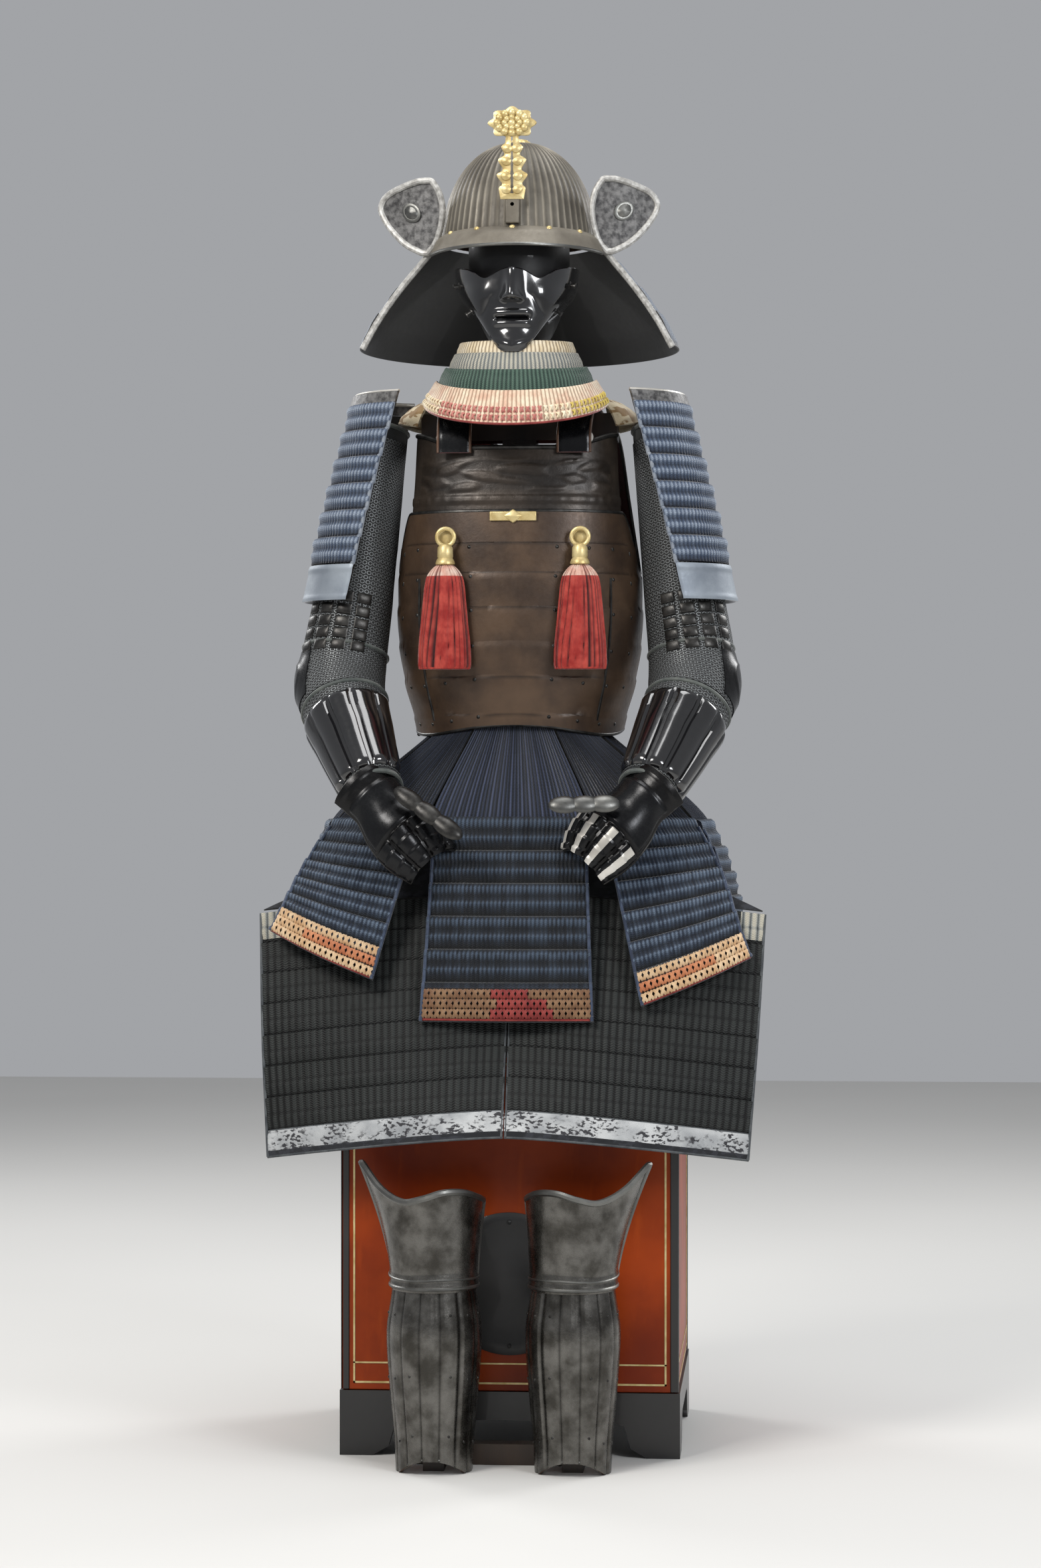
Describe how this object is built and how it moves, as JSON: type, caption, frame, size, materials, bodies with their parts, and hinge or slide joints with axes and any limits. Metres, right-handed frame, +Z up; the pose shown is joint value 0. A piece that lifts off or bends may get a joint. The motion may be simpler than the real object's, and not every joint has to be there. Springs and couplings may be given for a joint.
{
  "type": "samurai armour on an armour chest stand",
  "caption": "Empty suit of Japanese laced armour with helmet, face mask, sleeves, skirt, thigh apron and shin guards, set on a wooden stand over its lacquered chest.",
  "frame": {"origin": "on the floor, under the middle of the whole suit's bounding box", "axes": "+Z up, -Y out of the front of the armour, +X towards the wearer's left"},
  "size_m": [0.645, 0.5748, 1.7107],
  "materials": {
    "helmet_iron": "russet iron with a satin sheen",
    "black_lacquer": "gloss black lacquer",
    "russet_lacquer": "worn russet lacquer over iron",
    "pale_silk": "cream silk lacing",
    "green_silk": "grey-green silk lacing",
    "blue_lacing": "blue silk lacing over lacquered lames",
    "steel_blue_lacing": "faded blue silk lacing over lacquered lames",
    "dark_lacing": "near-black lacing over small plates",
    "sleeve_cloth": "dark cloth with mail",
    "gilt": "gilt copper",
    "red_silk": "red silk cord",
    "silver_brocade": "silver brocade",
    "shin_iron": "dark polished iron",
    "orange_lacquer": "orange-red lacquer with gilt lines",
    "black_lacquered_wood": "gloss black lacquer",
    "stand_wood": "dark stained wood"
  },
  "bodies": {
    "root": {"chest_base": "black_lacquered_wood", "chest_lid": "black_lacquered_wood", "chest_body": "orange_lacquer", "chest_roundel": "black_lacquer", "mask": "black_lacquer", "elbow_plate_left": "black_lacquer", "elbow_plate_right": "black_lacquer", "forearm_guard_left": "black_lacquer", "forearm_guard_right": "black_lacquer", "hand_guard_left": "black_lacquer", "hand_guard_right": "black_lacquer", "stand_post": "stand_wood", "stand_head": "stand_wood", "stand_lap_board": "stand_wood", "stand_shin_bar": "stand_wood", "helmet_bowl": "helmet_iron", "helmet_brim": "helmet_iron", "neck_lame_1": "helmet_iron", "neck_lame_2": "helmet_iron", "neck_lame_3": "helmet_iron", "neck_lame_4": "helmet_iron", "helmet_turnback_left": "helmet_iron", "helmet_turnback_right": "helmet_iron", "helmet_crest": "gilt", "throat_lame_1": "pale_silk", "throat_lame_4": "pale_silk", "shoulder_wing_left": "pale_silk", "shoulder_wing_right": "pale_silk", "throat_lame_2": "green_silk", "throat_lame_3": "green_silk", "cuirass_front": "russet_lacquer", "cuirass_back": "russet_lacquer", "breast_plate": "russet_lacquer", "shoulder_strap_left": "russet_lacquer", "shoulder_strap_right": "russet_lacquer", "tassel_left": "red_silk", "tassel_right": "red_silk", "shoulder_guard_left": "steel_blue_lacing", "shoulder_guard_right": "steel_blue_lacing", "sleeve_upper_left": "sleeve_cloth", "sleeve_upper_right": "sleeve_cloth", "sleeve_lower_left": "sleeve_cloth", "sleeve_lower_right": "sleeve_cloth", "apron_cloth": "sleeve_cloth", "tasset_front": "blue_lacing", "tasset_front_side_left": "blue_lacing", "tasset_front_side_right": "blue_lacing", "tasset_side_left": "blue_lacing", "tasset_side_right": "blue_lacing", "tasset_back_left": "blue_lacing", "tasset_back_right": "blue_lacing", "apron_left": "dark_lacing", "apron_right": "dark_lacing", "apron_hem_left": "silver_brocade", "apron_hem_right": "silver_brocade", "shin_guard_left": "shin_iron", "shin_guard_right": "shin_iron", "knee_guard_left": "shin_iron", "knee_guard_right": "shin_iron"}
  },
  "joints": []
}
